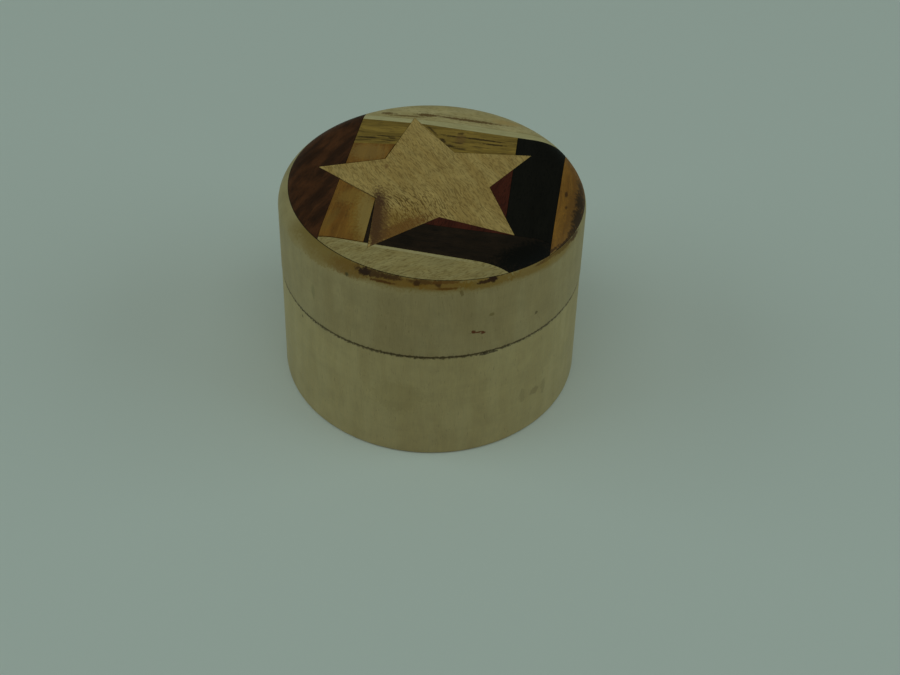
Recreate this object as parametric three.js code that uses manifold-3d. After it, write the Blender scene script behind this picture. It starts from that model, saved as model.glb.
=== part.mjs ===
// Round turned wooden box with a lift-off lid and a marquetry panel on its top.
// Millimetres, +Z up. The origin is the centre of the base's underside.
// X runs to the right and Y to the back when the panel is seen from above, front edge nearest.

import * as THREE from "three";
import { mergeVertices } from "three/addons/utils/BufferGeometryUtils.js";
import Module from "manifold-3d";

const wasm = await Module();
wasm.setup();

// ---- Driving dimensions: outside ----
const OVERALL_HEIGHT = 35.0;
const LID_HEIGHT = 14.5; // from the base's shoulder to the top
const LID_RADIUS = 24.0; // at the lid's lower edge
const LID_TAPER = 0.36; // how much the lid narrows up to its rounded edge
const LID_EDGE_WIDTH = 4.0; // the rounded upper edge, measured across
const LID_EDGE_DROP = 3.2; // and down
const SHOULDER_STEP = 0.05; // the base stands this little inside the lid at the seam
const BASE_FLARE = 0.75; // how much the base widens from the seam down to its foot
const FOOT_EDGE = 0.5; // rounded edge under the foot
const SEAM_GAP = 0.15; // shut line between the lid and the shoulder

// ---- Driving dimensions: inside ----
const LID_WALL = 2.88; // at the lid's lower edge
const LID_CEILING = 4.75; // wood and panel together
const LID_FILLET = 1.0; // rounded corner at the lid's ceiling
const LID_CLEARANCE = 0.12; // radial play between the neck and the lid's bore
const NECK_WALL = 2.4; // the raised neck that the lid slips over
const NECK_HEIGHT = 5.0; // above the shoulder
const NECK_CHAMFER = 0.5; // at the neck's top
const BASE_FLOOR = 4.0;
const CAVITY_FILLET = 2.0; // rounded corner at the cavity's floor

// ---- Sizes that follow ----
const SEAM_HEIGHT = OVERALL_HEIGHT - LID_HEIGHT;
const SHOULDER_RADIUS = LID_RADIUS - SHOULDER_STEP;
const FOOT_RADIUS = SHOULDER_RADIUS + BASE_FLARE;
const LID_BORE_RADIUS = LID_RADIUS - LID_WALL;
const NECK_RADIUS = LID_BORE_RADIUS - LID_CLEARANCE;
const CAVITY_RADIUS = NECK_RADIUS - NECK_WALL;

// ---- Driving dimensions: marquetry panel ----
const PANEL_THICKNESS = 1.3; // at the centre
const PANEL_WEDGE_DEG = 2.25; // the panel is glued on slightly askew, so it is a thin wedge
const PANEL_WEDGE_TOWARD_DEG = 38; // its thick side, counted from +X towards +Y
const GLUE_LINE = 0.1; // between two pieces, and under the panel
const STRINGING_LEFT_WIDTH = 1.2;
const STRINGING_RIGHT_WIDTH = 1.5;

// The star and the joints below are laid out for a lid of this radius, and grow or shrink with the lid.
const LAYOUT_RADIUS = 24.0;

// The hand-cut five-pointed star: its centre, its longest point, and its corners in order,
// each as [direction in degrees from +X, share of the longest point].
const STAR_CENTRE_LAID_OUT = [-0.6, -0.35];
const STAR_REACH = 17.8;
const STAR_CORNERS = [
  [99.7, 0.99], [64.6, 0.49], [26.0, 0.985], [354.1, 0.52], [315.9, 1.0],
  [281.8, 0.5], [243.6, 1.02], [210.1, 0.5035], [170.7, 0.97], [141.6, 0.5],
];

// The straight joints between the panel's strips, each through two points [x, y].
const JOINTS_LAID_OUT = {
  leftChord: [[-11.9, 16.6], [-15.95, -14.1]],
  stringingLeft: [[-11.65, 16.3], [-4.45, 15.55]],
  stringingRight: [[-0.95, 15.1], [18.15, 11.25]],
  upperBlockTop: [[-12.9, 9.35], [-6.35, 9.3]],
  ebonyLeft: [[13.2, 12.25], [11.05, -8.75]],
  ebonyRight: [[20.55, 7.5], [17.45, -14.1]],
  barTop: [[-1.2, -10.8], [12.25, -12.85]],
};
const FRONT_JOINT_DEG = -11.35; // the front joint's direction from +X
const FRONT_OVERRUN = 0.93; // how far the star's lower-left point runs past the front joint
const WEDGE_SPREAD = 0.74; // the dark wedge's width beside that point

// ---- Fineness ----
const TURNED_SIDES = 72;
const EDGE_STEPS = 6; // facets across the lid's rounded edge
const FILLET_STEPS = 4;
const BEYOND = 4 * LID_RADIUS; // longer than anything that it cuts

// ---- Layout brought to the lid's size ----
const LAYOUT_SCALE = LID_RADIUS / LAYOUT_RADIUS;
const toSize = ([x, y]) => [x * LAYOUT_SCALE, y * LAYOUT_SCALE];
const STAR_CENTRE = toSize(STAR_CENTRE_LAID_OUT);
const starCorners = STAR_CORNERS.map(([degrees, share]) => {
  const angle = THREE.MathUtils.degToRad(degrees);
  const reach = STAR_REACH * LAYOUT_SCALE * share;
  return [STAR_CENTRE[0] + reach * Math.cos(angle), STAR_CENTRE[1] + reach * Math.sin(angle)];
});

// The joints that only follow the lid's size, then the two that run beside the star's lower-left leg.
const JOINTS = Object.fromEntries(
  Object.entries(JOINTS_LAID_OUT).map(([name, line]) => [name, line.map(toSize)]),
);
const [[tipX, tipY], leftNotch] = starCorners.slice(6, 8);
const frontSlope = Math.tan(THREE.MathUtils.degToRad(FRONT_JOINT_DEG));
JOINTS.frontJoint = [
  [tipX, tipY + FRONT_OVERRUN],
  [tipX + LID_RADIUS, tipY + FRONT_OVERRUN + LID_RADIUS * frontSlope],
];
JOINTS.lowerBlockRight = [leftNotch, [tipX - WEDGE_SPREAD, tipY]];
const besideTip = [tipX - WEDGE_SPREAD / 2, tipY + 2 * FRONT_OVERRUN];

// ---- Finishes ----
const FINISHES = {
  paleTurned: [0xb59a6c, 0.62],
  starWood: [0xb8945a, 0.55],
  darkRed: [0x4a2518, 0.5],
  yellowStrip: [0x9a7434, 0.5],
  orangeBlock: [0x9c6a30, 0.5],
  stringing: [0xcbb987, 0.55],
  paleSegment: [0xbda873, 0.55],
  ebony: [0x14120f, 0.4],
  redSliver: [0x4e1c12, 0.45],
  darkBar: [0x241712, 0.45],
};

function finish(name) {
  const [color, roughness] = FINISHES[name];
  return new THREE.MeshStandardMaterial({ color, roughness, metalness: 0 });
}

// ---- Solids ----
function solidOf(geometry) {
  const plain = geometry.clone();
  plain.deleteAttribute("normal");
  plain.deleteAttribute("uv");
  const merged = mergeVertices(plain, 1e-4);
  const vertProperties = new Float32Array(merged.attributes.position.array);
  const triVerts = new Uint32Array(merged.index.array);
  return new wasm.Manifold(new wasm.Mesh({ numProp: 3, vertProperties, triVerts }));
}

function geometryOf(solid) {
  const mesh = solid.getMesh();
  const geometry = new THREE.BufferGeometry();
  geometry.setAttribute("position", new THREE.BufferAttribute(new Float32Array(mesh.vertProperties), 3));
  geometry.setIndex(new THREE.BufferAttribute(new Uint32Array(mesh.triVerts), 1));
  geometry.computeVertexNormals();
  return geometry;
}

// A solid of revolution about Z from [radius, height] points that run up the outside.
function turned(profile) {
  const points = profile.map(([r, z]) => new THREE.Vector2(r, z));
  return new THREE.LatheGeometry(points, TURNED_SIDES).rotateX(Math.PI / 2);
}

// Points of a quarter ellipse between two directions, for a rounded corner in a profile.
function corner(centre, radii, fromDeg, toDeg, steps) {
  const points = [];
  for (let i = 0; i <= steps; i += 1) {
    const angle = THREE.MathUtils.degToRad(fromDeg + ((toDeg - fromDeg) * i) / steps);
    points.push([centre[0] + radii[0] * Math.cos(angle), centre[1] + radii[1] * Math.sin(angle)]);
  }
  return points;
}

// The lid's outer outline above a given height, up to the axis.
function lidOutline(startHeight) {
  const topRadius = LID_RADIUS - LID_TAPER;
  const edgeBottom = OVERALL_HEIGHT - LID_EDGE_DROP;
  const edgeCentre = [topRadius - LID_EDGE_WIDTH, edgeBottom];
  return [
    [LID_RADIUS, startHeight],
    ...corner(edgeCentre, [LID_EDGE_WIDTH, LID_EDGE_DROP], 0, 90, EDGE_STEPS),
    [0, OVERALL_HEIGHT],
  ];
}

// The half-space above the plane on which the panel is glued, raised by a gap.
function abovePanelPlane(gap) {
  const block = new THREE.BoxGeometry(BEYOND, BEYOND, BEYOND).translate(0, 0, BEYOND / 2);
  const toward = THREE.MathUtils.degToRad(PANEL_WEDGE_TOWARD_DEG);
  const tiltAxis = new THREE.Vector3(-Math.sin(toward), Math.cos(toward), 0);
  const tilt = new THREE.Matrix4().makeRotationAxis(tiltAxis, THREE.MathUtils.degToRad(PANEL_WEDGE_DEG));
  block.applyMatrix4(tilt);
  return solidOf(block.translate(0, 0, OVERALL_HEIGHT - PANEL_THICKNESS + gap));
}

function baseCup() {
  const neckTop = SEAM_HEIGHT + NECK_HEIGHT;
  const footCentre = [FOOT_RADIUS - FOOT_EDGE, FOOT_EDGE];
  const floorCorner = [CAVITY_RADIUS - CAVITY_FILLET, BASE_FLOOR + CAVITY_FILLET];
  return turned([
    [0, 0],
    ...corner(footCentre, [FOOT_EDGE, FOOT_EDGE], -90, 0, FILLET_STEPS),
    [SHOULDER_RADIUS, SEAM_HEIGHT],
    [NECK_RADIUS, SEAM_HEIGHT],
    [NECK_RADIUS, neckTop - NECK_CHAMFER],
    [NECK_RADIUS - NECK_CHAMFER, neckTop],
    [CAVITY_RADIUS, neckTop],
    ...corner(floorCorner, [CAVITY_FILLET, CAVITY_FILLET], 0, -90, FILLET_STEPS),
    [0, BASE_FLOOR],
  ]);
}

function lidShell() {
  const bottom = SEAM_HEIGHT + SEAM_GAP;
  const ceiling = OVERALL_HEIGHT - LID_CEILING;
  const ceilingCorner = [LID_BORE_RADIUS - LID_FILLET, ceiling - LID_FILLET];
  const inside = [
    [0, ceiling],
    ...corner(ceilingCorner, [LID_FILLET, LID_FILLET], 90, 0, FILLET_STEPS),
    [LID_BORE_RADIUS, bottom],
  ];
  const whole = solidOf(turned([...inside, ...lidOutline(bottom)]));
  return geometryOf(whole.subtract(abovePanelPlane(0)));
}

// ---- Marquetry outlines ----
// The line moved sideways by a distance, towards or away from a point.
function movedLine(line, distance, point) {
  const [a, b] = line.map(([x, y]) => new THREE.Vector2(x, y));
  const normal = new THREE.Vector2(a.y - b.y, b.x - a.x).normalize();
  const side = Math.sign(normal.dot(new THREE.Vector2(...point).sub(a)));
  const shift = normal.multiplyScalar(distance * side);
  return [a.add(shift), b.add(shift)].map((p) => [p.x, p.y]);
}

// The part of a convex outline that lies on the point's side of a line.
function clipped(outline, line, point) {
  const [[ax, ay], [bx, by]] = line;
  const height = ([x, y]) => (bx - ax) * (y - ay) - (by - ay) * (x - ax);
  const side = Math.sign(height(point));
  const kept = [];
  outline.forEach((p, i) => {
    const q = outline[(i + 1) % outline.length];
    const hp = side * height(p);
    const hq = side * height(q);
    if (hp >= 0) kept.push(p);
    if (hp * hq < 0) {
      const t = hp / (hp - hq);
      kept.push([p[0] + t * (q[0] - p[0]), p[1] + t * (q[1] - p[1])]);
    }
  });
  return kept;
}

// The convex region around a point that a set of lines bounds, each line moved in by a gap.
function regionAt(point, lines, gap) {
  const far = BEYOND / 2;
  let outline = [[-far, -far], [far, -far], [far, far], [-far, far]];
  for (const line of lines) {
    outline = clipped(outline, movedLine(line, gap, point), point);
  }
  return outline;
}

// The star's outline with every edge moved outwards by a gap. Its corners run clockwise.
function starOutline(gap) {
  const edges = starCorners.map((p, i) => {
    const q = starCorners[(i + 1) % starCorners.length];
    return movedLine([p, q], -gap, STAR_CENTRE);
  });
  return edges.map(([c, d], i) => {
    const [a, b] = edges[(i + edges.length - 1) % edges.length];
    const cross = (b[0] - a[0]) * (d[1] - c[1]) - (b[1] - a[1]) * (d[0] - c[0]);
    const t = ((c[0] - a[0]) * (d[1] - c[1]) - (c[1] - a[1]) * (d[0] - c[0])) / cross;
    return [a[0] + t * (b[0] - a[0]), a[1] + t * (b[1] - a[1])];
  });
}

function prism(outline) {
  const shape = new THREE.Shape(outline.map(([x, y]) => new THREE.Vector2(x, y)));
  return solidOf(new THREE.ExtrudeGeometry(shape, { depth: BEYOND, bevelEnabled: false }));
}

// The axes of the star's points, which part the strips that meet under a point.
const [topPoint, rightPoint, lowerRightPoint, lowerLeftPoint, leftPoint] = [0, 2, 4, 6, 8].map(
  (i) => [STAR_CENTRE, starCorners[i]],
);

// The outer edges of the two lengths of stringing, which meet at a slight angle by the star's point.
const OUTER_STRINGING = [
  movedLine(JOINTS.stringingLeft, -STRINGING_LEFT_WIDTH, STAR_CENTRE),
  movedLine(JOINTS.stringingRight, -STRINGING_RIGHT_WIDTH, STAR_CENTRE),
];

// Each piece of the panel round the star: its finish, a point inside it, and the joints
// that bound it.
const PANEL_PIECES = {
  left_dark_segment: ["darkRed", toSize([-19, 0]), [JOINTS.leftChord]],
  stringing_left: [
    "stringing", toSize([-8, 16.5]), [JOINTS.leftChord, JOINTS.stringingLeft, ...OUTER_STRINGING, topPoint],
  ],
  stringing_right: ["stringing", toSize([6, 14.4]), [JOINTS.stringingRight, ...OUTER_STRINGING, topPoint]],
  top_left_strip: [
    "yellowStrip", toSize([-9, 13]),
    [JOINTS.leftChord, JOINTS.stringingLeft, JOINTS.upperBlockTop, topPoint],
  ],
  upper_left_block: [
    "orangeBlock", toSize([-11, 7]), [JOINTS.leftChord, JOINTS.upperBlockTop, topPoint, leftPoint],
  ],
  top_right_strip: [
    "yellowStrip", toSize([7, 11]), [JOINTS.stringingRight, JOINTS.ebonyLeft, topPoint, rightPoint],
  ],
  ebony_strip: [
    "ebony", toSize([15, 0]),
    [JOINTS.stringingRight, JOINTS.ebonyLeft, JOINTS.ebonyRight, JOINTS.barTop, lowerRightPoint],
  ],
  right_edge_segment: ["orangeBlock", toSize([21, -3]), [JOINTS.ebonyRight]],
  red_right_triangle: ["redSliver", toSize([10.5, -2]), [JOINTS.ebonyLeft, rightPoint, lowerRightPoint]],
  red_bottom_sliver: ["redSliver", toSize([2.5, -10.6]), [JOINTS.barTop, lowerRightPoint, lowerLeftPoint]],
  bottom_dark_bar: [
    "darkBar", toSize([5, -13]), [JOINTS.barTop, JOINTS.frontJoint, JOINTS.ebonyRight, lowerLeftPoint],
  ],
  front_segment: ["paleSegment", toSize([0, -20]), [JOINTS.frontJoint, JOINTS.leftChord]],
  lower_left_block: [
    "orangeBlock", toSize([-12, -8]),
    [JOINTS.leftChord, JOINTS.frontJoint, JOINTS.lowerBlockRight, leftPoint],
  ],
  dark_wedge: [
    "darkBar", besideTip,
    [JOINTS.leftChord, JOINTS.lowerBlockRight, JOINTS.frontJoint, lowerLeftPoint, leftPoint],
  ],
};

function panelPieces() {
  const belowPanel = OVERALL_HEIGHT - LID_EDGE_DROP - PANEL_THICKNESS;
  const lidTop = solidOf(turned([[0, belowPanel], ...lidOutline(belowPanel)]));
  const blank = lidTop.intersect(abovePanelPlane(GLUE_LINE));
  const starHole = prism(starOutline(GLUE_LINE));
  const meshes = [];
  meshes.push(["star", "starWood", blank.intersect(prism(starOutline(0)))]);
  for (const [name, [wood, inside, joints]] of Object.entries(PANEL_PIECES)) {
    const cut = prism(regionAt(inside, joints, GLUE_LINE / 2)).subtract(starHole);
    meshes.push([name, wood, blank.intersect(cut)]);
  }
  // The back segment lies beyond both lengths of stringing.
  const beforeBack = prism(regionAt(STAR_CENTRE, OUTER_STRINGING, -GLUE_LINE / 2));
  const backCut = prism(regionAt(toSize([0, 20]), [JOINTS.leftChord], GLUE_LINE / 2)).subtract(starHole);
  meshes.push(["back_segment", "paleSegment", blank.intersect(backCut.subtract(beforeBack))]);
  return meshes;
}

// ---- Assembly ----
function node(name, geometry, finishName) {
  const mesh = new THREE.Mesh(geometry, finish(finishName));
  mesh.name = name;
  return mesh;
}

const box = new THREE.Group();
box.add(node("base_cup", baseCup(), "paleTurned"));

const lid = new THREE.Group();
lid.add(node("lid_shell", lidShell(), "paleTurned"));
for (const [name, wood, solid] of panelPieces()) {
  lid.add(node(name, geometryOf(solid), wood));
}
box.add(lid);

export default box;
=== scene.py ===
# %% [markdown]
# # A round wooden box with a marquetry star
# The real object is a small lathe-turned box, about 49 mm across at its foot, with a lift-off lid.
# A panel of coloured woods is glued on the lid and sanded flush with it. This script rebuilds it
# in Blender around the CAD model: the turned bodies are spun from their outlines, and the panel is
# sawn from one blank, as a marquetry maker saws it. Each wood gets its own procedural material.

import math

import bmesh
import bpy
from mathutils import Matrix, Vector


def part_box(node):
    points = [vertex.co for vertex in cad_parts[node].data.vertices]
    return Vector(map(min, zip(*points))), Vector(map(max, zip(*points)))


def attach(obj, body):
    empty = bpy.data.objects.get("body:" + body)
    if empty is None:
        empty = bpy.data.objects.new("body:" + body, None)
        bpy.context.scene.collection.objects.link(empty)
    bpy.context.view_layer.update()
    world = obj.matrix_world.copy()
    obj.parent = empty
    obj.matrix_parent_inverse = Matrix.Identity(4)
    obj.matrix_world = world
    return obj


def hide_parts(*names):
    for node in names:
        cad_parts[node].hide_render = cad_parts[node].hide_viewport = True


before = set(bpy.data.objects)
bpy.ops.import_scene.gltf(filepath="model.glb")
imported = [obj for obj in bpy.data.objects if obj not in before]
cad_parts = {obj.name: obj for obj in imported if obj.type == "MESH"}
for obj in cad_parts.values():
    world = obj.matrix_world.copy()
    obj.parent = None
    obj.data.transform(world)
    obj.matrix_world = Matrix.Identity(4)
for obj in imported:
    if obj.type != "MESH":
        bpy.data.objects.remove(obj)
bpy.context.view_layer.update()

# %% [markdown]
# ## Sizes
# The CAD nodes say where things are, so the main sizes are read from their boxes. Those that a box
# can't give, such as the rounding of the lid's edge, are written here. Sizes of the object are in
# millimetres until a mesh is made, because a hand-sized thing is easier to think about that way.
# The camera, the lamps and the floor are placed in metres.

# %% Sizes from the frame
MM = 0.001


def box_mm(node):
    """The lowest and highest corner of a CAD node, in millimetres."""
    low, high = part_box(node)
    return low / MM, high / MM


_, base_high = box_mm("base_cup")
shell_low, shell_high = box_mm("lid_shell")
_, star_high = box_mm("star")

TOP = star_high.z  # the panel's flat top
FOOT_RADIUS = base_high.x
NECK_TOP = base_high.z
LID_RADIUS = shell_high.x
LID_BOTTOM = shell_low.z
print(f"top {TOP:.2f}, seam {LID_BOTTOM:.2f}, foot radius {FOOT_RADIUS:.2f}, "
      f"lid radius {LID_RADIUS:.2f} mm")

# %% Sizes of the turned parts
SEAM_GAP = 0.15  # shut line under the lid
SHOULDER = LID_BOTTOM - SEAM_GAP
SHOULDER_RADIUS = LID_RADIUS - 0.05
LID_TOP_RADIUS = LID_RADIUS - 0.36  # the lid narrows slightly upwards
EDGE_WIDTH, EDGE_DROP = 4.0, 3.2  # the rounded upper edge, across and down
EDGE_STEPS = 14  # facets over the rounded edge
LID_WALL = 2.88
LID_CEILING = 4.75  # the wood and the panel above the lid's bore
NECK_PLAY = 0.12  # the lid slips over the neck with this much room
NECK_WALL = 2.4
BORE_RADIUS = LID_RADIUS - LID_WALL
CEILING = TOP - LID_CEILING
NECK_RADIUS = BORE_RADIUS - NECK_PLAY
CAVITY_RADIUS = NECK_RADIUS - NECK_WALL
FLOOR_TOP = 4.0
TURN_STEPS = 192  # facets round a turned part
EASING_STEPS = 4  # facets over a sandpapered corner
CREASE = 35  # degrees: an edge sharper than this shades as a crease

# The panel is a thin wedge: the plane it is glued on rises towards the left front.
PANEL_CENTRE_THICKNESS = 1.3
WEDGE = math.radians(2.25)
WEDGE_TOWARD = math.radians(38)
GLUE_NORMAL = Vector((
    math.sin(WEDGE) * math.cos(WEDGE_TOWARD),
    math.sin(WEDGE) * math.sin(WEDGE_TOWARD),
    math.cos(WEDGE),
))
GLUE_POINT = Vector((0, 0, TOP - PANEL_CENTRE_THICKNESS))
GLUE_FILM = 0.05  # a thin dark line between the panel and the lid
print(f"bore {BORE_RADIUS:.2f}, neck {NECK_RADIUS:.2f}, cavity {CAVITY_RADIUS:.2f} mm in radius")

# %% [markdown]
# ## Camera, light and floor
# The box is seen from above its front edge, at about 44 degrees, with a slightly tilted camera.
# Soft light from a pale room comes from all sides, with a large lamp above the front and a weaker
# one on each side to brighten the edges of the round body. Shadows are faint and the wood shows no
# glare. The Standard view keeps each colour as it is mixed.

# %% Camera
CAMERA_PLACE = (0.00343, -0.13728, 0.13376)
LOOK_DOWN, ROLL = math.radians(43.84), math.radians(1.98)

collection = bpy.context.scene.collection
camera_data = bpy.data.cameras.new("camera")
camera_data.lens = 44.0
camera_data.sensor_width = 36.0
camera_data.clip_start = 0.01
camera = bpy.data.objects.new("camera", camera_data)
camera.matrix_world = (
    Matrix.Translation(CAMERA_PLACE)
    @ Matrix.Rotation(math.pi / 2 - LOOK_DOWN, 4, "X")
    @ Matrix.Rotation(ROLL, 4, "Z")
)
collection.objects.link(camera)
bpy.context.scene.camera = camera
bpy.context.scene.view_settings.view_transform = "Standard"
print("camera", [round(c, 3) for c in camera.location])


# %% Colour and node helpers
def linear(hex_colour):
    """An sRGB colour such as "#BD955A" as linear red, green, blue and alpha."""
    values = [int(hex_colour[i:i + 2], 16) / 255 for i in (1, 3, 5)]
    return [v / 12.92 if v <= 0.04045 else ((v + 0.055) / 1.055) ** 2.4 for v in values] + [1.0]


def add(tree, kind, sockets=(), out=0, **settings):
    """Adds a node and returns one of its outputs. sockets gives inputs their values or links."""
    node = tree.nodes.new(kind)
    for name, value in settings.items():
        setattr(node, name, value)
    for key, value in dict(sockets).items():
        if isinstance(value, bpy.types.NodeSocket):
            tree.links.new(value, node.inputs[key])
        else:
            node.inputs[key].default_value = value
    return node.outputs[out]


# A Mix node keeps its colour sockets at these places.
MIX_A, MIX_B, MIX_RESULT = 6, 7, 2

# %% Light
ROOM_TINT = "#C6DCD0"  # daylight through a slightly green shade
WINDOW_TINT = "#BCE4E2"  # sky light
ROOM_STRENGTH = 0.21

world = bpy.data.worlds.new("pale_room")
world.use_nodes = True
background = world.node_tree.nodes["Background"]
background.inputs["Color"].default_value = linear(ROOM_TINT)
background.inputs["Strength"].default_value = ROOM_STRENGTH
bpy.context.scene.world = world


def softbox(name, place, size, watts, tint):
    """A large soft lamp that faces the box. Its place and size are in metres."""
    lamp_data = bpy.data.lights.new(name, "AREA")
    lamp_data.shape = "RECTANGLE"
    lamp_data.size, lamp_data.size_y = size
    lamp_data.energy = watts
    lamp_data.color = linear(tint)[:3]
    lamp = bpy.data.objects.new(name, lamp_data)
    lamp.location = place
    lamp.rotation_euler = (-Vector(place)).to_track_quat("-Z", "Y").to_euler()
    collection.objects.link(lamp)


softbox("overhead_softbox", (-0.05, -0.55, 1.9), (2.2, 1.6), 10.6, ROOM_TINT)
softbox("left_window", (-1.2, -0.1, 0.6), (1.0, 1.0), 3.7, WINDOW_TINT)
softbox("right_window", (1.2, -0.1, 0.6), (1.0, 1.0), 3.7, WINDOW_TINT)
print("lamps:", len(bpy.data.lights), "and", world.name)

# %% Floor
FLOOR_HALF_WIDTH = 1.5  # metres

floor_shape = bmesh.new()
bmesh.ops.create_grid(floor_shape, x_segments=1, y_segments=1, size=FLOOR_HALF_WIDTH)
floor_mesh = bpy.data.meshes.new("floor")
floor_shape.to_mesh(floor_mesh)
floor_shape.free()
floor = bpy.data.objects.new("floor", floor_mesh)
collection.objects.link(floor)
floor_material = bpy.data.materials.new("matt_white_cloth")
floor_material.use_nodes = True
floor_shader = floor_material.node_tree.nodes["Principled BSDF"]
floor_shader.inputs["Base Color"].default_value = linear("#E4E0DC")
floor_shader.inputs["Roughness"].default_value = 0.9
floor_mesh.materials.append(floor_material)
print("floor:", floor_material.name)

# %% [markdown]
# ## What wood needs from a material
# All woods here share the same build: pores and fibres that run along the grain, broader growth
# bands, and local marks such as stains and dark streaks. The grain pattern is solid, in Object
# coordinates, so it runs through a piece as in real timber: along the sides as fibres, and over
# rounded edges and end faces as dots. The coordinates are turned so that X lies along the grain.

# %% What the woods share
GRAIN_WAVER = 1.8  # how far the grain wanders, in millimetres
FIBRE = (2.8, 0.2)  # length and width of the finest fibres that still show, in millimetres
USUAL_NOISE = {"From Min": 0.3, "From Max": 0.7}  # nearly all values of a noise lie between these
MARK_END = 1.25  # a mark has faded out at this share of its size
RAGGEDNESS = 0.4  # how far noise moves the edge of a mark, as a share of its size
BARE_WOOD_IOR = 1.5
BARE_WOOD_SPECULAR = 0.15  # sanded wood with no finish hardly shines when it is looked at squarely


def mark_colour(tree, place_mm, edge_noise, colour, marks, core):
    """Lays stains and streaks over a colour, each an ellipsoid with a ragged edge.

    A mark is (centre, half sizes, turn in degrees, colour, strength). core is the share of its
    size that has its full strength. Outside it the mark fades."""
    for centre, half_sizes, turned_to, hex_colour, strength in marks:
        inside = add(tree, "ShaderNodeMapping", {
            "Vector": place_mm, "Location": centre, "Rotation": (0, 0, math.radians(turned_to)),
            "Scale": half_sizes,
        }, vector_type="TEXTURE")
        reach = add(tree, "ShaderNodeVectorMath", {0: inside}, out="Value", operation="LENGTH")
        reach = add(tree, "ShaderNodeMath", {0: reach, 1: edge_noise}, operation="ADD")
        mask = add(tree, "ShaderNodeMapRange", {
            "Value": reach, "From Min": MARK_END, "From Max": core, "To Max": strength,
        }, interpolation_type="SMOOTHSTEP")
        colour = add(tree, "ShaderNodeMix", {
            0: mask, MIX_A: colour, MIX_B: linear(hex_colour),
        }, out=MIX_RESULT, data_type="RGBA")
    return colour


# %% Grain
def grain_place(tree, place_mm, grain, offset):
    """Millimetres with X along the grain, and a slow waver so that it isn't ruler-straight."""
    aligned = add(tree, "ShaderNodeMapping", {
        "Vector": place_mm, "Rotation": tuple(math.radians(-a) for a in grain),
        "Location": (offset, 2 * offset, 0),
    })
    waver = add(tree, "ShaderNodeTexNoise", {
        "Vector": place_mm, "Scale": 0.12, "Detail": 2.0,
    }, out="Color")
    waver = add(tree, "ShaderNodeVectorMath", {0: waver, 1: (0.5, 0.5, 0.5)}, operation="SUBTRACT")
    waver = add(tree, "ShaderNodeVectorMath", {0: waver, "Scale": GRAIN_WAVER}, operation="SCALE")
    return add(tree, "ShaderNodeVectorMath", {0: aligned, 1: waver}, operation="ADD")


def grain_noise(tree, along, length, width, detail):
    """Noise whose lumps are about that long and wide in millimetres, along the grain."""
    stretched = add(tree, "ShaderNodeMapping", {
        "Vector": along, "Scale": (1 / length, 1 / width, 1 / width),
    })
    return add(tree, "ShaderNodeTexNoise", {
        "Vector": stretched, "Scale": 1.0, "Detail": detail, "Roughness": 0.6,
    })


def open_pores(tree, place_mm, along, slit, share, depth, rough_patch):
    """A mask of short slits along the grain. A rough patch has more of them near its middle."""
    threshold = 0.5 + (0.5 - share) * 0.4
    slits = add(tree, "ShaderNodeMapRange", {
        "Value": grain_noise(tree, along, *slit, 1.5),
        "From Min": threshold, "From Max": threshold + 0.1, "To Max": depth,
    }, interpolation_type="SMOOTHSTEP")
    if not rough_patch:
        return slits
    centre, half_sizes = rough_patch
    patch = add(tree, "ShaderNodeMapping", {
        "Vector": place_mm, "Location": centre, "Scale": half_sizes,
    }, vector_type="TEXTURE")
    patch = add(tree, "ShaderNodeVectorMath", {0: patch}, out="Value", operation="LENGTH")
    share_here = add(tree, "ShaderNodeMapRange", {
        "Value": patch, "From Min": 0.2, "From Max": 1.2, "To Min": 1.8, "To Max": 0.8,
    }, interpolation_type="SMOOTHSTEP")
    return add(tree, "ShaderNodeMath", {0: slits, 1: share_here}, operation="MULTIPLY",
               use_clamp=True)


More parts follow.
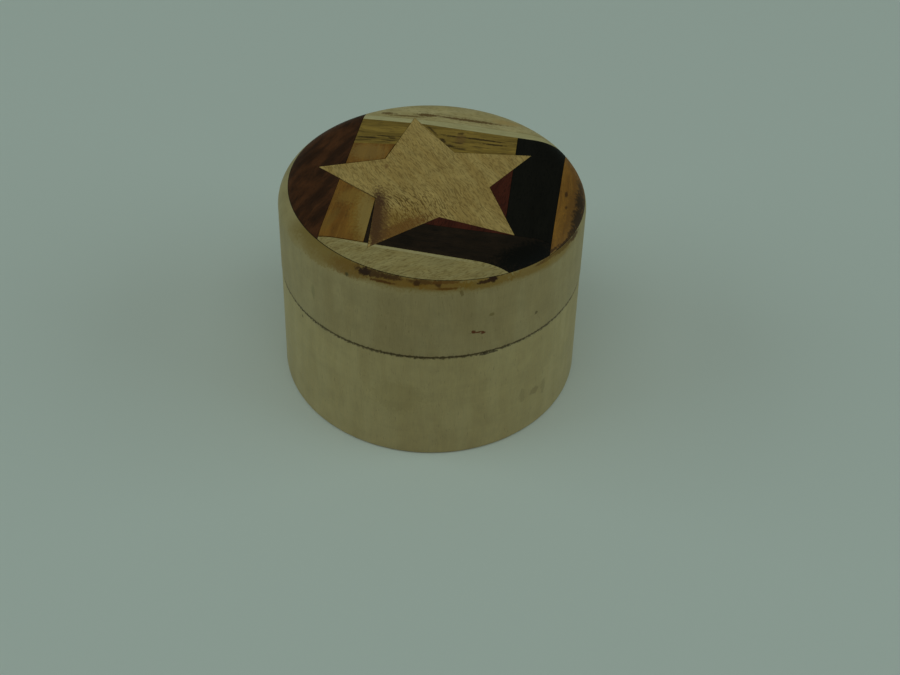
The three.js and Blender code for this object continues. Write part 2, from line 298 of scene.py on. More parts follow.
# %% One kind of wood
def wood(name, light, dark, pore, grain=(0, 0, 0), offset=0.0, band=(25, 2), band_share=0.6,
         mottle=0.12, fibre=0.10, slit=(1.3, 0.16), slit_share=0.4, slit_depth=0.5, roughness=0.55,
         bump=0.3, marks=(), core=0.45, ragged=(2.2, 2.2, 2.2), rough_patch=None, tool_lines=0.0,
         specular=BARE_WOOD_SPECULAR, extra=None):
    """A sanded wood.

    light, dark and pore are its colours, and grain is the turn that brings the grain onto X. band
    and slit are length and width in mm. mottle, fibre and tool_lines say how much lighter and
    darker each pattern makes the wood. offset shifts the grain, so no two woods share it."""
    material = bpy.data.materials.new(name)
    material.use_nodes = True
    tree = material.node_tree
    shader = tree.nodes["Principled BSDF"]
    place = add(tree, "ShaderNodeTexCoord", out="Object")
    place_mm = add(tree, "ShaderNodeVectorMath", {0: place, "Scale": 1 / MM}, operation="SCALE")
    along = grain_place(tree, place_mm, grain, offset)

    # Broad growth bands mix the two colours.
    bands = add(tree, "ShaderNodeMapRange", {
        "Value": grain_noise(tree, along, *band, 4.0),
        "From Min": 0.36, "From Max": 0.64, "To Max": band_share,
    }, interpolation_type="SMOOTHSTEP")
    colour = add(tree, "ShaderNodeMix", {
        0: bands, MIX_A: linear(light), MIX_B: linear(dark),
    }, out=MIX_RESULT, data_type="RGBA")

    # Clouds of a few millimetres and fine fibres make it a little lighter and darker.
    cloud = add(tree, "ShaderNodeTexNoise", {
        "Vector": place_mm, "Scale": 0.3, "Detail": 5.0, "Roughness": 0.6,
    })
    fibres = grain_noise(tree, along, *FIBRE, 3.0)
    shade = add(tree, "ShaderNodeMath", {
        0: add(tree, "ShaderNodeMapRange", {
            "Value": cloud, **USUAL_NOISE, "To Min": 1 - mottle, "To Max": 1 + mottle,
        }),
        1: add(tree, "ShaderNodeMapRange", {
            "Value": fibres, **USUAL_NOISE, "To Min": 1 - fibre, "To Max": 1 + fibre,
        }),
    }, operation="MULTIPLY")
    relief = fibres
    if tool_lines:  # fine rings that the turning tool leaves, stacked along Z
        rings = add(tree, "ShaderNodeMapping", {"Vector": place_mm, "Scale": (0.02, 0.02, 2.6)})
        rings = add(tree, "ShaderNodeTexNoise", {
            "Vector": rings, "Scale": 1.0, "Detail": 3.0, "Roughness": 0.7,
        })
        ring_shade = add(tree, "ShaderNodeMapRange", {
            "Value": rings, **USUAL_NOISE, "To Min": 1 - tool_lines, "To Max": 1 + tool_lines,
        })
        shade = add(tree, "ShaderNodeMath", {0: shade, 1: ring_shade}, operation="MULTIPLY")
        relief = add(tree, "ShaderNodeMath", {0: relief, 1: rings}, operation="ADD")
    colour = add(tree, "ShaderNodeVectorMath", {0: colour, "Scale": shade}, operation="SCALE")

    # Open pores are short slits along the grain, darker than the wood and a little below it.
    slits = open_pores(tree, place_mm, along, slit, slit_share, slit_depth, rough_patch)
    colour = add(tree, "ShaderNodeMix", {
        0: slits, MIX_A: colour, MIX_B: linear(pore),
    }, out=MIX_RESULT, data_type="RGBA")

    # Marks lie over the grain.
    edge_noise = add(tree, "ShaderNodeMapping", {"Vector": place_mm, "Scale": ragged})
    edge_noise = add(tree, "ShaderNodeTexNoise", {
        "Vector": edge_noise, "Scale": 1.0, "Detail": 4.0, "Roughness": 0.7,
    })
    edge_noise = add(tree, "ShaderNodeMapRange", {
        "Value": edge_noise, **USUAL_NOISE, "To Min": -RAGGEDNESS, "To Max": RAGGEDNESS,
    })
    if extra:
        colour = extra(tree, place_mm, edge_noise, colour)
    colour = mark_colour(tree, place_mm, edge_noise, colour, marks, core)
    tree.links.new(colour, shader.inputs["Base Color"])

    rough = add(tree, "ShaderNodeMapRange", {
        "Value": fibres, **USUAL_NOISE, "To Min": roughness - 0.06, "To Max": roughness + 0.08,
    })
    tree.links.new(rough, shader.inputs["Roughness"])
    shader.inputs["IOR"].default_value = BARE_WOOD_IOR
    shader.inputs["Specular IOR Level"].default_value = specular
    relief = add(tree, "ShaderNodeMath", {0: relief, 1: slits}, operation="SUBTRACT")
    normal = add(tree, "ShaderNodeBump", {
        "Height": relief, "Strength": bump, "Distance": 0.1 * MM,
    })
    tree.links.new(normal, shader.inputs["Normal"])
    print(f"{name}: {len(tree.nodes)} nodes")
    return material


# %% [markdown]
# ## The woods
# Pale beech makes the turned body. The star is an open-pored pale wood with its grain set on the
# slant. Rosewood, maple, olive wood, apricot, ebony, padauk and dark walnut surround it, each
# chosen by the maker for its colour. The colours are what the woods look like in neutral daylight,
# except the front segment's beech and the line at the seam, which carry painted shade.

# %% Painted shade at the seam and stains on the rim
UPRIGHT = (0, 90, 0)  # brings a vertical grain onto X


def seam_painted_shade(tree, place_mm, edge_noise, colour):
    """Painted shade: a thin dark brown line where the lid meets the base, on the outside only,
    standing in for the shade in the shut line.
    """
    height = add(tree, "ShaderNodeSeparateXYZ", {0: place_mm}, out="Z")
    away = add(tree, "ShaderNodeMath", {0: height, 1: LID_BOTTOM}, operation="SUBTRACT")
    away = add(tree, "ShaderNodeMath", {0: away}, operation="ABSOLUTE")
    away = add(tree, "ShaderNodeMath", {0: edge_noise, 1: 0.5, 2: away}, operation="MULTIPLY_ADD")
    mask = add(tree, "ShaderNodeMapRange", {
        "Value": away, "From Min": 0.42, "From Max": 0.14, "To Max": 0.85,
    }, interpolation_type="SMOOTHSTEP")
    flat = add(tree, "ShaderNodeVectorMath", {0: place_mm, 1: (1, 1, 0)}, operation="MULTIPLY")
    radius = add(tree, "ShaderNodeVectorMath", {0: flat}, out="Value", operation="LENGTH")
    outside = add(tree, "ShaderNodeMapRange", {
        "Value": radius, "From Min": SHOULDER_RADIUS - 0.4, "From Max": SHOULDER_RADIUS - 0.1,
    })
    mask = add(tree, "ShaderNodeMath", {0: mask, 1: outside}, operation="MULTIPLY")
    # Mix towards #46300F: the painted shade along the seam.
    return add(tree, "ShaderNodeMix", {
        0: mask, MIX_A: colour, MIX_B: linear("#46300F"),
    }, out=MIX_RESULT, data_type="RGBA")


def rim_stain_and_seam_shade(tree, place_mm, edge_noise, colour):
    """Glue and sanding dust stained the front of the rim, just below the panel."""
    # Height over the glue plane, with a ragged edge.
    below = add(tree, "ShaderNodeVectorMath", {
        0: place_mm, 1: GLUE_NORMAL,
    }, out="Value", operation="DOT_PRODUCT")
    below = add(tree, "ShaderNodeMath", {
        0: below, 1: GLUE_POINT.dot(GLUE_NORMAL),
    }, operation="SUBTRACT")
    below = add(tree, "ShaderNodeMath", {
        0: edge_noise, 1: 1.3, 2: below,
    }, operation="MULTIPLY_ADD")
    strength = add(tree, "ShaderNodeMapRange", {
        "Value": below, "From Min": -2.0, "From Max": -0.4,
    }, interpolation_type="SMOOTHSTEP")
    # It is stronger on the left, and only on the front.
    across = add(tree, "ShaderNodeMapRange", {
        "Value": add(tree, "ShaderNodeSeparateXYZ", {0: place_mm}, out="X"),
        "From Min": 12.0, "From Max": -4.0, "To Min": 0.4, "To Max": 0.85,
    }, interpolation_type="SMOOTHSTEP")
    front = add(tree, "ShaderNodeMapRange", {
        "Value": add(tree, "ShaderNodeSeparateXYZ", {0: place_mm}, out="Y"),
        "From Min": -8.0, "From Max": -13.0,
    }, interpolation_type="SMOOTHSTEP")
    for part in (across, front):
        strength = add(tree, "ShaderNodeMath", {0: strength, 1: part}, operation="MULTIPLY")
    colour = add(tree, "ShaderNodeMix", {
        0: strength, MIX_A: colour, MIX_B: linear("#8A6A2E"),
    }, out=MIX_RESULT, data_type="RGBA")
    # After the rim stain, the painted shade along the seam goes on.
    return seam_painted_shade(tree, place_mm, edge_noise, colour)


# %% Turned beech for the box
RIM = 23.0  # the radius of the rounded edge where the panel meets it
MARK_DEPTH = 2.0  # how far a mark on the side reaches into the wood


def on_side(bearing, height, half_sizes, colour, strength, radius=LID_RADIUS):
    """A mark on a turned side: bearing in degrees from +X, height, half width and half height."""
    turned_to = math.radians(bearing)
    half_width, half_height = half_sizes
    centre = (radius * math.cos(turned_to), radius * math.sin(turned_to), height)
    return centre, (half_width, MARK_DEPTH, half_height), bearing + 90, colour, strength


# What both turned pieces share: plain close-grained beech with hardly any open pores.
TURNED_BEECH = {
    "pore": "#6E5630", "grain": UPRIGHT, "band": (30, 4), "band_share": 0.5, "mottle": 0.07,
    "fibre": 0.05, "slit": (1.2, 0.14), "slit_share": 0.15, "slit_depth": 0.35,
    "tool_lines": 0.02, "roughness": 0.5, "ragged": (2.4, 2.4, 2.0),
}
# The base carries the painted shade line at the seam.
beech_base = wood(
    "beech_turned_and_sanded_base", "#BEA473", "#AB8F5D", **TURNED_BEECH, offset=3.0, core=0.8,
    specular=0.36, extra=seam_painted_shade,
    marks=[
        on_side(-46, 7.9, (0.9, 0.7), "#8C7347", 0.5),
        on_side(-41, 7.4, (0.5, 1.6), "#8C7347", 0.4),
        on_side(-52, 8.3, (0.6, 1.4), "#927A4C", 0.4),
        on_side(-143, 19.3, (0.2, 0.3), "#5E4A28", 0.7),
        on_side(-69, 20.3, (1.0, 0.16), "#4A3820", 0.8),
        on_side(-65.5, 20.3, (0.6, 0.14), "#4A3820", 0.8),
        on_side(-100, 12.0, (4.0, 3.0), "#A08650", 0.3),
    ],
)
# The lid's rim stain also brings the painted shade line at the seam.
beech_lid = wood(
    "beech_turned_and_sanded_lid", "#B59C70", "#A3885B", **TURNED_BEECH, offset=17.0, core=0.62,
    specular=0.16, extra=rim_stain_and_seam_shade,
    marks=[
        # Broad brown stains round the front of the rim.
        on_side(-120, 33.75, (4.2, 0.9), "#84591A", 0.75, RIM),
        on_side(-134, 33.4, (3.4, 1.1), "#947236", 0.6, RIM),
        on_side(-147, 33.0, (2.6, 0.9), "#9A7A42", 0.4, RIM),
        on_side(-100, 33.75, (4.5, 0.55), "#885A18", 0.7, RIM),
        on_side(-85, 33.65, (4.5, 0.6), "#8C5E1A", 0.7, RIM),
        on_side(-68, 33.4, (4.6, 0.7), "#8C641E", 0.7, RIM),
        on_side(-50, 33.2, (4.2, 0.7), "#8C641E", 0.6, RIM),
        # Dark flecks and lines in them.
        on_side(-110, 34.1, (2.8, 0.4), "#4C2A08", 0.9, RIM),
        on_side(-113, 34.0, (1.0, 0.4), "#361A06", 0.95, RIM),
        on_side(-103, 34.1, (1.6, 0.3), "#4C2A08", 0.9, RIM),
        on_side(-106, 33.5, (2.0, 0.16), "#5E360C", 0.9, RIM),
        on_side(-92, 34.0, (2.2, 0.26), "#603A0C", 0.9, RIM),
        on_side(-93.5, 33.85, (0.6, 0.3), "#4C2A08", 0.9, RIM),
        on_side(-86, 33.85, (0.5, 0.4), "#4C2A0A", 0.85, RIM),
        on_side(-84, 34.0, (2.2, 0.2), "#6E4210", 0.8, RIM),
        on_side(-83, 33.3, (2.0, 0.14), "#6E4210", 0.8, RIM),
        on_side(-66.5, 33.7, (0.75, 0.42), "#381A06", 1.0, RIM),
        on_side(-69.5, 33.55, (1.4, 0.2), "#44240A", 0.95, RIM),
        on_side(-63.5, 33.95, (0.7, 0.18), "#5E360C", 0.7, RIM),
        on_side(-41, 33.3, (3.0, 0.22), "#5E360C", 0.9, RIM),
        on_side(-33, 33.1, (2.6, 0.3), "#502A08", 0.9, RIM),
        on_side(-25, 32.95, (1.8, 0.3), "#502A08", 0.85, RIM),
        on_side(-38, 32.8, (4.0, 0.8), "#9A7430", 0.5, RIM),
        # A short dark line low on the side, and small spots.
        on_side(-72, 24.95, (1.1, 0.14), "#6E3517", 0.9),
        on_side(-73.6, 25.2, (0.34, 0.3), "#6E3517", 0.95),
        on_side(-70, 24.7, (0.5, 0.26), "#6E3517", 0.95),
        on_side(-67, 27.8, (0.45, 0.3), "#7A6432", 0.6),
        on_side(-48, 24.7, (0.3, 0.3), "#5E4A28", 0.7),
        on_side(-78, 32.6, (0.25, 0.5), "#6E5426", 0.6),
        on_side(-135, 26.5, (0.4, 1.4), "#8A7C50", 0.4),
        on_side(-119, 33.1, (0.3, 0.25), "#4F4426", 0.8, RIM),
    ],
)

# %% Glue under the panel
# Animal glue dries to a dark brown film, which shows as a thin line round the panel.
hide_glue = wood(
    "dark_hide_glue_on_beech", "#2A1A0E", "#1C120A", "#120B06", offset=5.0, mottle=0.2,
    slit_share=0.1, roughness=0.6,
)


# %% The woods of the panel
STREAK_DEPTH = 5.0  # more than the panel's thickness, so a streak shows on its edge too


def on_panel(x, y, half_sizes, turned_to, colour, strength):
    """A streak on the panel: centre, half length and half width in mm, direction in degrees."""
    return (x, y, TOP), (*half_sizes, STREAK_DEPTH), turned_to, colour, strength


STREAK = "#3C2711"
DARK_WOOD_SPECULAR = 0.08  # a dark wood shows even a faint shine, so it gets less
# Named for the slot, except where one piece of a slot has a wood of its own. The front segment's
# beech is darker than the back segment's, with painted shade.
panel_woods = {
    # Open-pored ash: pale and matt, with short dark slits on the star's slant.
    "star_wood": wood(
        "ash_star_on_the_slant", "#CAA062", "#B4874A", "#6C4A1E", grain=(0, 0, -61), offset=1.0,
        band=(12, 1.6), mottle=0.08, fibre=0.16, slit=(1.1, 0.2), slit_share=0.5, bump=0.6,
        rough_patch=((-4.5, -8.5, TOP), (9, 7, 9)),
        marks=[
            on_panel(-5.4, -11.2, (5.4, 3.6), 45, "#A0702F", 0.6),
            on_panel(-4.6, -12.6, (6.2, 1.7), 40, "#875222", 0.8),
            on_panel(-7.9, -10.2, (7.8, 0.95), 92, "#4A2C1C", 1.0),
            on_panel(-7.5, -10.4, (7.6, 1.7), 92, "#6E4526", 0.75),
            on_panel(-7.6, -5.6, (1.6, 0.7), 100, "#5A3723", 0.7),
            on_panel(-7.3, 3.2, (0.7, 0.35), 95, "#7A4E28", 0.6),
        ],
    ),
    # Rosewood: dark red-brown with near-black bands.
    "dark_red_wood": wood(
        "rosewood_segment", "#57301B", "#351D11", "#22120A", grain=(0, 0, 62), offset=9.0,
        band=(8, 1.6), band_share=0.9, mottle=0.22, slit=(1.5, 0.14), slit_share=0.35,
        roughness=0.5, specular=DARK_WOOD_SPECULAR,
    ),
    # Maple: fine, even and pale, with hardly a pore to see.
    "stringing_wood": wood(
        "maple_stringing", "#D0B88A", "#BFA474", "#A68A58", grain=(0, 0, -11), offset=21.0,
        mottle=0.06, slit_share=0.15, slit_depth=0.3,
    ),
    # Beech with short flecks, and a paler line along its joint. Its colours are darkened with
    # painted shade, below those of the back segment's beech.
    "front_segment": wood(
        "beech_front_segment_painted_shade", "#B79A68", "#A48450", "#6E501F", grain=(0, 0, 24), offset=37.0,
        band=(6, 1.2), mottle=0.10, fibre=0.14, slit=(0.9, 0.18), slit_share=0.45, slit_depth=0.4,
        marks=[on_panel(-2.6, -17.25, (10.5, 0.3), -11.35, "#CDB284", 0.7)],
    ),
    # Beech too, cut where brown heartwood streaks run through it.
    "pale_segment_wood": wood(
        "beech_back_segment", "#CDB081", "#B99A66", "#8A6A38", grain=(0, 0, -14), offset=33.0,
        band=(8, 1.5), mottle=0.08, slit=(0.9, 0.2), slit_share=0.42, slit_depth=0.35,
        marks=[
            on_panel(-1.6, 18.0, (2.0, 0.5), -3, "#6E4C26", 0.9),
            on_panel(5.4, 16.8, (6.0, 0.42), -11, "#6E4C26", 0.9),
            on_panel(-8.0, 18.2, (1.3, 0.4), -3, "#6E4C26", 0.8),
            on_panel(-4.8, 17.55, (3.4, 0.3), -4, "#7E5E32", 0.8),
            on_panel(11.5, 16.5, (2.6, 0.8), -11, "#C79A60", 0.6),
            on_panel(3.0, 17.9, (4.0, 0.25), -11, "#94733F", 0.5),
        ],
    ),
    # Olive wood: yellow-brown with thin dark streaks.
    "yellow_strip_wood": wood(
        "olive_wood_strip", "#A67E3A", "#83622A", "#4E3617", grain=(0, 0, -6), offset=41.0,
        band=(14, 0.8), band_share=0.9, fibre=0.16, slit=(2.6, 0.2), slit_share=0.3,
        slit_depth=0.6,
        marks=[
            on_panel(-10.6, 10.95, (2.0, 0.22), -4, STREAK, 0.9),
            on_panel(-8.0, 11.5, (1.5, 0.2), -5, STREAK, 0.85),
            on_panel(-11.4, 10.3, (1.5, 0.16), 0, STREAK, 0.7),
            on_panel(-7.6, 10.35, (1.3, 0.15), -4, STREAK, 0.8),
            on_panel(-6.9, 10.95, (0.7, 0.3), -8, STREAK, 0.7),
            on_panel(3.0, 12.0, (1.8, 0.26), -8, STREAK, 0.85),
            on_panel(7.6, 11.3, (4.4, 0.26), -10, STREAK, 0.9),
            on_panel(4.0, 11.2, (0.9, 1.8), -6, "#7E5630", 0.6),
            on_panel(9.4, 10.0, (2.2, 0.26), -8, STREAK, 0.85),
            on_panel(1.2, 10.8, (0.8, 0.4), -60, STREAK, 0.85),
            on_panel(2.3, 9.3, (1.1, 0.34), -10, STREAK, 0.85),
            on_panel(3.9, 8.6, (1.2, 0.3), -10, STREAK, 0.7),
            on_panel(4.0, 12.9, (0.6, 0.3), 10, STREAK, 0.7),
            on_panel(3.6, 10.2, (1.0, 0.25), -10, STREAK, 0.6),
            on_panel(-0.6, 13.6, (1.8, 0.25), -58, STREAK, 0.7),
            on_panel(7.0, 9.2, (1.5, 0.15), -8, STREAK, 0.5),
        ],
    ),
    # Apricot wood: warm orange-tan, dark where it is thin at the rim.
    "orange_wood": wood(
        "apricot_wood_block", "#9D6628", "#7F4D1C", "#5A3816", grain=(0, 0, 83), offset=53.0,
        band=(16, 1.1), band_share=0.8, slit=(1.8, 0.16), slit_share=0.3, slit_depth=0.4,
        marks=[
            on_panel(-9.6, -9.8, (7.5, 2.4), 95, "#A37C38", 0.5),
            on_panel(-9.3, -9.6, (7.0, 1.5), 95, "#B08A50", 0.6),
            on_panel(-12.0, -4.6, (2.6, 1.8), 40, "#A87C3A", 0.5),
            on_panel(-14.6, -10.5, (3.2, 0.8), 68, "#8E662E", 0.5),
            on_panel(22.0, -8.0, (12.0, 3.0), 80, "#7E5226", 0.7),
            on_panel(-10.5, 7.0, (3.4, 2.6), 0, "#A47A42", 0.6),
            on_panel(22.7, 0.9, (2.4, 0.6), 92, "#4A2E12", 0.85),
            on_panel(22.45, -3.0, (3.4, 0.95), 84, "#38220F", 0.95),
            on_panel(21.75, -6.9, (3.2, 0.9), 74, "#38220F", 0.95),
            on_panel(20.9, -9.9, (2.0, 0.5), 64, "#3F2610", 0.9),
            on_side(-40, 33.35, (3.0, 0.3), "#9A7A42", 0.9, 23.4),
            on_side(-31, 33.1, (2.6, 0.26), "#9A7A42", 0.9, 23.5),
            on_side(-40.5, 33.75, (2.6, 0.16), "#54300F", 1.0, 23.2),
            on_side(-32, 33.48, (2.8, 0.18), "#4A2C10", 1.0, 23.3),
            on_panel(20.2, -2.4, (0.8, 0.3), 85, "#472811", 0.85),
            on_panel(20.0, -5.6, (0.5, 0.2), 80, "#472811", 0.7),
        ],
    ),
    # Ebony: near black, with almost no shine when it is only sanded.
    "ebony": wood(
        "ebony_strip_sanded", "#1B1611", "#140F0B", "#0A0806", grain=(0, 0, 85), offset=61.0,
        roughness=0.6, specular=0.06,
    ),
    # Padauk that has darkened with age: a deep red.
    "red_wood": wood(
        "padauk_sliver", "#562418", "#441A11", "#230D08", grain=(0, 0, 75), offset=71.0,
        roughness=0.6, specular=DARK_WOOD_SPECULAR,
    ),
    # Dark walnut: very dark brown with slightly lighter bands.
    "dark_bar_wood": wood(
        "dark_walnut_bar", "#302016", "#1E140E", "#120C08", grain=(0, 0, -10), offset=83.0,
        band=(5, 1.4), mottle=0.25, roughness=0.6, specular=DARK_WOOD_SPECULAR,
        marks=[on_panel(14.0, -16.6, (7.0, 2.4), 32, "#0D0906", 0.95)],
    ),
}

# %% [markdown]
# ## Turned parts
# A lathe cuts one outline all the way round. Blender's spin does the same: an outline of a few
# points is drawn at the +X side, its corners are eased with a vertex bevel, as sandpaper eases
# them, and it is spun once round Z. Ready-made cylinders would need each step cut in afterwards.


# %% Turning helper
def outline_shape(points):
    """A wire from (radius, height, easing) points. easing is how much a corner is rounded."""
    shape = bmesh.new()
    corners = [(shape.verts.new((r * MM, 0, z * MM)), easing) for r, z, easing in points]
    for (a, _), (b, _) in zip(corners, corners[1:]):
        shape.edges.new((a, b))
    for corner, easing in corners:
        if easing:
            bmesh.ops.bevel(shape, geom=[corner], offset=easing * MM, segments=EASING_STEPS,
                            profile=0.5, affect="VERTICES", material=-1)
    return shape


def turn(shape):
    """Spins the wire once round Z and closes it into a solid."""
    bmesh.ops.spin(shape, geom=shape.verts[:] + shape.edges[:], cent=(0, 0, 0), axis=(0, 0, 1),
                   dvec=(0, 0, 0), angle=2 * math.pi, steps=TURN_STEPS, use_merge=True,
                   use_duplicate=False)
    bmesh.ops.remove_doubles(shape, verts=shape.verts, dist=1e-7)
    bmesh.ops.recalc_face_normals(shape, faces=shape.faces)


def cut_off(shape, point, normal):
    """Cuts off what lies on the normal's side of a plane, and returns the cut's edges."""
    everything = shape.verts[:] + shape.edges[:] + shape.faces[:]
    cut = bmesh.ops.bisect_plane(shape, geom=everything, dist=1e-8, plane_co=point,
                                 plane_no=normal, clear_outer=True)
    return [part for part in cut["geom_cut"] if isinstance(part, bmesh.types.BMEdge)]


def saw(shape, point, normal, cap_material=0):
    """Cuts a solid at a plane and closes the cut with a face of that material."""
    rim = cut_off(shape, point, normal)
    for face in bmesh.ops.edgeloop_fill(shape, edges=rim)["faces"]:
        face.material_index = cap_material
    bmesh.ops.recalc_face_normals(shape, faces=shape.faces)


def finish_mesh(made):
    """Shades an object smooth but for its creases."""
    mesh = made.data
    mesh.shade_smooth()
    shape = bmesh.new()
    shape.from_mesh(mesh)
    for edge in shape.edges:
        if edge.is_manifold and edge.calc_face_angle(0) > math.radians(CREASE):
            edge.smooth = False
    shape.to_mesh(mesh)
    shape.free()
    print(f"{made.name}: {len(mesh.polygons)} faces")


def put(name, shape):
    """Makes the shape a mesh and an object at the origin."""
    mesh = bpy.data.meshes.new(name)
    shape.to_mesh(mesh)
    shape.free()
    made = bpy.data.objects.new(name, mesh)
    collection.objects.link(made)
    return made


def piece(name, shape, materials):
    """Makes the shape a finished object with its materials."""
    made = put(name, shape)
    for material in materials:
        made.data.materials.append(material)
    finish_mesh(made)
    return made


# %% The base
base_shape = outline_shape([
    (0, 0, 0), (FOOT_RADIUS, 0, 0.5),
    (SHOULDER_RADIUS, SHOULDER, 0.25), (NECK_RADIUS, SHOULDER, 0.1),
    (NECK_RADIUS, NECK_TOP, 0.5), (CAVITY_RADIUS, NECK_TOP, 0.4),
    (CAVITY_RADIUS, FLOOR_TOP, 2.0), (0, FLOOR_TOP, 0),
])
turn(base_shape)
base = piece("turned_base", base_shape, [beech_base])
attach(base, "base")
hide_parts("base_cup")


# %% The lid
def lid_edge():
    """Outline points over the lid's rounded edge and on to the centre."""
    centre_x, centre_z = LID_TOP_RADIUS - EDGE_WIDTH, TOP - EDGE_DROP
    rounding = [
        (centre_x + EDGE_WIDTH * math.cos(a), centre_z + EDGE_DROP * math.sin(a), 0)
        for a in (math.pi / 2 * i / EDGE_STEPS for i in range(EDGE_STEPS + 1))
    ]
    return rounding + [(0, TOP, 0)]


lid_shape = outline_shape([
    (0, CEILING, 0), (BORE_RADIUS, CEILING, 1.0),
    (BORE_RADIUS, LID_BOTTOM, 0.2), (LID_RADIUS, LID_BOTTOM, 0.25),
    *lid_edge(),
])
turn(lid_shape)
saw(lid_shape, (GLUE_POINT - GLUE_NORMAL * GLUE_FILM) * MM, GLUE_NORMAL, cap_material=1)
lid = piece("turned_lid", lid_shape, [beech_lid, hide_glue])
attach(lid, "lid")
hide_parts("lid_shell")

# %% [markdown]
# ## The marquetry panel
# The maker glued a star and strips of coloured woods into one sheet, stuck it on the lid, and
# sanded it flush. So the panel is made as one blank with the lid's own rounding, and each piece is
# sawn from a copy of it along its straight joints. A boolean keeps both the rounded edge and
# the flat joints exact, which pieces drawn one by one wouldn't. A hair of space is left at each
# joint, where dark glue shows.

# %% The blank
BLANK_DEPTH = 6.0  # deep enough to reach below the tilted glue plane everywhere

blank_bottom = TOP - BLANK_DEPTH
blank_shape = outline_shape([(0, blank_bottom, 0), (LID_TOP_RADIUS, blank_bottom, 0), *lid_edge()])
turn(blank_shape)
saw(blank_shape, GLUE_POINT * MM, -GLUE_NORMAL)
blank_mesh = bpy.data.meshes.new("panel_blank")
blank_shape.to_mesh(blank_mesh)
blank_shape.free()
print("panel blank:", len(blank_mesh.polygons), "faces")

# %% The lines of the design
STAR_CENTRE = Vector((-0.6, -0.35))
STAR_REACH = 17.8
# Each corner of the star: its bearing in degrees from +X and its share of the reach, points and
# notches in turn from the top point. They differ a little, as in any star cut by hand.
STAR_DESIGN = [
    (99.7, 0.99), (64.6, 0.49), (26.0, 0.985), (354.1, 0.52), (315.9, 1.0),
    (281.8, 0.5), (243.6, 1.02), (210.1, 0.5035), (170.7, 0.97), (141.6, 0.5),
]
STAR_CORNERS = []
for bearing, share in STAR_DESIGN:
    turned_to = math.radians(bearing)
    toward = Vector((math.cos(turned_to), math.sin(turned_to)))
    STAR_CORNERS.append(STAR_CENTRE + STAR_REACH * share * toward)
# The straight joints, each through two points.
JOINTS = {
    "left_chord": ((-11.9, 16.6), (-15.95, -14.1)),
    "stringing_left": ((-11.65, 16.3), (-4.45, 15.55)),
    "stringing_right": ((-0.95, 15.1), (18.15, 11.25)),
    "upper_block_top": ((-12.9, 9.35), (-6.35, 9.3)),
    "ebony_left": ((13.2, 12.25), (11.05, -8.75)),
    "ebony_right": ((20.55, 7.5), (17.45, -14.1)),
    "bar_top": ((-1.2, -10.8), (12.25, -12.85)),
    "front_joint": ((-16.0, -14.2), (8.65, -19.15)),
    "lower_block_right": ((-8.35, -4.85), (-9.42, -16.61)),
}
JOINTS = {name: (Vector(a), Vector(b)) for name, (a, b) in JOINTS.items()}
# Pieces on both sides of a point of the star part on the line from its centre through that point.
for name, corner in (("top_point", 0), ("right_point", 2), ("lower_right_point", 4),
                     ("lower_left_point", 6), ("left_point", 8)):
    JOINTS[name] = (STAR_CENTRE, STAR_CORNERS[corner])
# Some edges of the star itself, which a piece stops short of.
for name, corner in (("left_arm_underside", 7), ("left_arm_top", 8), ("top_arm_left", 9)):
    JOINTS[name] = (STAR_CORNERS[corner], STAR_CORNERS[(corner + 1) % len(STAR_CORNERS)])


def moved(line, toward, distance):
    """The line shifted sideways by a distance towards a point."""
    a, b = line
    side = Vector((a.y - b.y, b.x - a.x)).normalized()
    if side.dot(toward - a) < 0:
        side = -side
    return (a + side * distance, b + side * distance)


# The outer edges of the two lengths of stringing. They meet at a slight angle by the top point.
AWAY = Vector((0, 40))  # a point behind the box
JOINTS["stringing_left_outer"] = moved(JOINTS["stringing_left"], AWAY, 1.2)
JOINTS["stringing_right_outer"] = moved(JOINTS["stringing_right"], AWAY, 1.5)
print("joints:", len(JOINTS))

# %% Which joints bound which piece
# Each piece: the wood's slot, a point inside it, and the joints that bound it.
OUTER = ["stringing_left_outer", "stringing_right_outer"]
PANEL_PIECES = {
    "left_dark_segment": ("dark_red_wood", (-19, 0), ["left_chord"]),
    "stringing_left": ("stringing_wood", (-8, 16.5), [
        "left_chord", "stringing_left", *OUTER, "top_point"]),
    "stringing_right": ("stringing_wood", (6, 14.4), ["stringing_right", *OUTER, "top_point"]),
    # The back segment also loses what lies in front of the stringing's outer edges.
    "back_segment": ("pale_segment_wood", (0, 19), ["left_chord"]),
    "top_left_strip": ("yellow_strip_wood", (-9, 13), [
        "left_chord", "stringing_left", "upper_block_top", "top_point"]),
    "upper_left_block": ("orange_wood", (-11, 7), [
        "left_chord", "upper_block_top", "top_point", "left_point", "left_arm_top",
        "top_arm_left"]),
    "top_right_strip": ("yellow_strip_wood", (7, 11), [
        "stringing_right", "ebony_left", "top_point", "right_point"]),
    "ebony_strip": ("ebony", (15, 0), [
        "stringing_right", "ebony_left", "ebony_right", "bar_top", "lower_right_point"]),
    "right_edge_segment": ("orange_wood", (21, -3), ["ebony_right"]),
    "red_right_triangle": ("red_wood", (10.5, -2), [
        "ebony_left", "right_point", "lower_right_point"]),
    "red_bottom_sliver": ("red_wood", (2.5, -10.6), [
        "bar_top", "lower_right_point", "lower_left_point"]),
    "bottom_dark_bar": ("dark_bar_wood", (5, -15), [
        "bar_top", "front_joint", "ebony_right", "lower_left_point"]),
    "front_segment": ("pale_segment_wood", (0, -20), ["front_joint", "left_chord"]),
    "lower_left_block": ("orange_wood", (-12, -8), [
        "left_chord", "front_joint", "lower_block_right", "left_point", "left_arm_underside"]),
    "dark_wedge": ("dark_bar_wood", (-9.1, -14.6), [
        "lower_block_right", "front_joint", "lower_left_point", "left_point"]),
}
JOINT_GAP = 0.05  # half goes to each of the two pieces
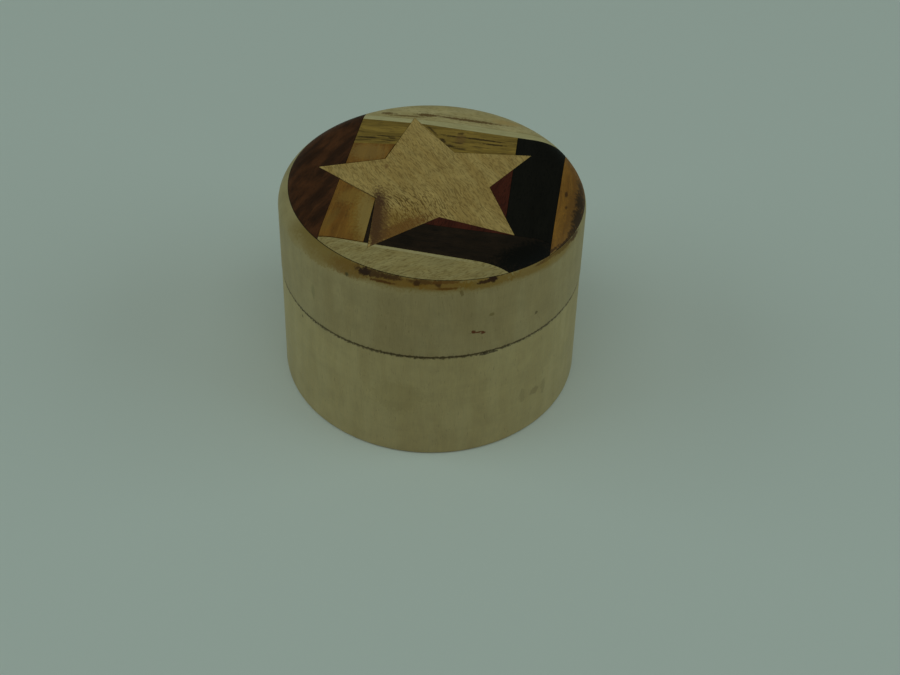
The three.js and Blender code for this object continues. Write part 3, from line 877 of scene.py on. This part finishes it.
# A few joints fit badly and are filled with dark glue: how far the piece stops short of the joint.
OPEN_JOINTS = {
    ("lower_left_block", "left_arm_underside"): 0.24,
    ("lower_left_block", "front_joint"): 0.16,
    ("lower_left_block", "lower_block_right"): 0.06,
    ("upper_left_block", "left_arm_top"): 0.12,
    ("upper_left_block", "top_arm_left"): 0.15,
}


# %% Sawing helpers
SHEET_HALF_WIDTH = 40  # wider than the panel
TOOL_HEIGHT = TOP + 5  # a tool stands on Z = 0 and reaches above the panel
STAR_EDGE_SHARE = math.cos(math.radians(38))  # an edge's distance over a notch's, roughly


def sheet_outline(name, inside, joints, gap=JOINT_GAP / 2):
    """A flat face that fills the region round a point between the joints, short by a gap."""
    shape = bmesh.new()
    bmesh.ops.create_grid(shape, x_segments=1, y_segments=1, size=SHEET_HALF_WIDTH * MM)
    for joint in joints:
        a, b = moved(JOINTS[joint], inside, OPEN_JOINTS.get((name, joint), gap))
        outward = Vector((b.y - a.y, a.x - b.x)).normalized()
        if outward.dot(inside - a) > 0:
            outward = -outward
        cut_off(shape, (a.x * MM, a.y * MM, 0), (outward.x, outward.y, 0))
    return shape


def star_outline(grow):
    """The star as a flat face, every edge moved out by about grow."""
    shape = bmesh.new()
    shape.faces.new([shape.verts.new((c.x * MM, c.y * MM, 0)) for c in STAR_CORNERS])
    edge_distance = min((c - STAR_CENTRE).length for c in STAR_CORNERS) * STAR_EDGE_SHARE
    scale = 1 + grow / edge_distance
    centre = Matrix.Translation((-STAR_CENTRE.x * MM, -STAR_CENTRE.y * MM, 0))
    bmesh.ops.scale(shape, vec=(scale, scale, 1), space=centre, verts=shape.verts)
    return shape


def tool(shape):
    """Makes a flat outline an upright prism, like a saw's path through the panel."""
    pushed = bmesh.ops.extrude_face_region(shape, geom=shape.faces[:])["geom"]
    upper = [part for part in pushed if isinstance(part, bmesh.types.BMVert)]
    bmesh.ops.translate(shape, vec=(0, 0, TOOL_HEIGHT * MM), verts=upper)
    bmesh.ops.recalc_face_normals(shape, faces=shape.faces)
    return put("tool", shape)


def saw_from_blank(name, keep=(), remove=()):
    """A copy of the blank, less what lies outside the tools to keep or inside those to remove."""
    rough = bpy.data.objects.new(name, blank_mesh.copy())
    collection.objects.link(rough)
    for operation, tools in (("INTERSECT", keep), ("DIFFERENCE", remove)):
        for cutter in tools:
            cut = rough.modifiers.new(operation, "BOOLEAN")
            cut.operation, cut.object, cut.solver = operation, cutter, "EXACT"
    sawn = rough.evaluated_get(bpy.context.evaluated_depsgraph_get())
    sawn_mesh = bpy.data.meshes.new_from_object(sawn)
    rough.modifiers.clear()
    rough.data = sawn_mesh
    sawn_mesh.name = name
    return rough


# %% Saw the star and the pieces round it
star_tool = tool(star_outline(0))
star_hole = tool(star_outline(JOINT_GAP))
before_back = tool(sheet_outline("before_back", STAR_CENTRE, OUTER, gap=-JOINT_GAP / 2))
panel = {"star": saw_from_blank("star_veneer", keep=[star_tool])}
slots = {"star": "star_wood"}
for name, (slot, inside, joints) in PANEL_PIECES.items():
    strip_tool = tool(sheet_outline(name, Vector(inside), joints))
    remove = [star_hole, before_back] if name == "back_segment" else [star_hole]
    panel[name] = saw_from_blank(name + "_veneer", keep=[strip_tool], remove=remove)
    slots[name] = slot
    bpy.data.objects.remove(strip_tool)
for done in (star_tool, star_hole, before_back):
    bpy.data.objects.remove(done)

# %% Material and part of each piece
for name, made in panel.items():
    made.data.materials.clear()
    made.data.materials.append(panel_woods.get(name, panel_woods[slots[name]]))
    finish_mesh(made)
    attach(made, "lid")
    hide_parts(name)
